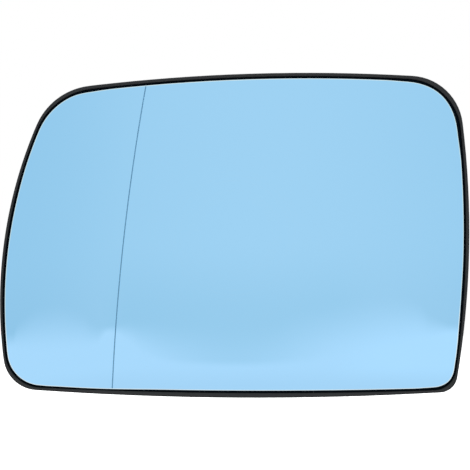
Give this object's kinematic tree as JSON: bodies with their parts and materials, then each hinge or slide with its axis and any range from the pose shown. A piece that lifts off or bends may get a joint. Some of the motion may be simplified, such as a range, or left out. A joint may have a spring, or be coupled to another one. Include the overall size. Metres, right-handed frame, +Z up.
{
  "type": "car door mirror glass",
  "caption": "Blue-tinted aspheric door mirror glass with a heater mat, bonded into a moulded holder whose snap ring clips onto the mirror motor.",
  "frame": {"origin": "on the axis of the clip ring, halfway along the tips of its hooks", "axes": "+X to the right and +Z up as the driver sees the glass, which faces -Y; +Y points back at the mirror motor"},
  "size_m": [0.184, 0.0141, 0.1272],
  "materials": {
    "mirror_glass": "blue-tinted mirror coating behind polished glass, with a dull ground edge",
    "clear_adhesive": "clear acrylic adhesive sheet",
    "heater_film": "amber polyester film",
    "heater_foil": "etched foil",
    "foam_adhesive": "white double-sided foam",
    "holder_plastic": "fine-grained black moulded plastic",
    "terminal_metal": "tinned",
    "rivet_metal": "plain"
  },
  "bodies": {
    "root": {"mirror_glass": "mirror_glass", "glass_adhesive": "clear_adhesive", "heater_film": "heater_film", "heater_track": "heater_foil", "heater_cover": "heater_film", "holder_adhesive": "foam_adhesive", "holder_plate": "holder_plastic", "terminal_left": "terminal_metal", "terminal_right": "terminal_metal", "rivet_left": "rivet_metal", "rivet_right": "rivet_metal"}
  },
  "joints": []
}
